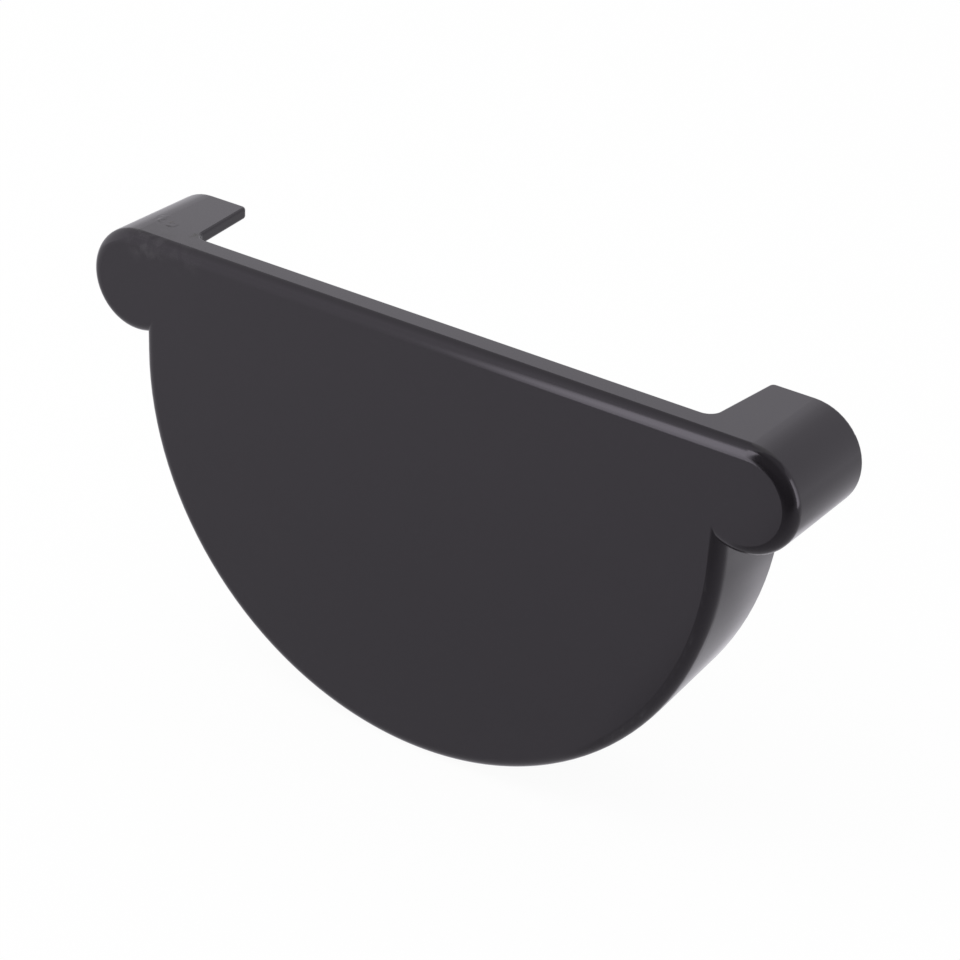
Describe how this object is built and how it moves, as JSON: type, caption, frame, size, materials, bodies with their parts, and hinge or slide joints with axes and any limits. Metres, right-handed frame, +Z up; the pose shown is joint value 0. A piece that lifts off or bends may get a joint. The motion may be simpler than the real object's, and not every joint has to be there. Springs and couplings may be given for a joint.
{
  "type": "gutter end cap",
  "caption": "Moulded end cap for a half-round gutter: flat plate with a round ear at each top corner, and a skirt that slides over the gutter's end.",
  "frame": {"origin": "centre of the half round, on the plate's inner face, where the gutter's end seats", "axes": "+X across the gutter, +Y along the gutter away from the plate, +Z up as mounted"},
  "size_m": [0.13, 0.0202, 0.074],
  "materials": {
    "cap_plastic": "smooth moulded black plastic with a soft gloss"
  },
  "bodies": {
    "root": {"end_cap": "cap_plastic"}
  },
  "joints": []
}
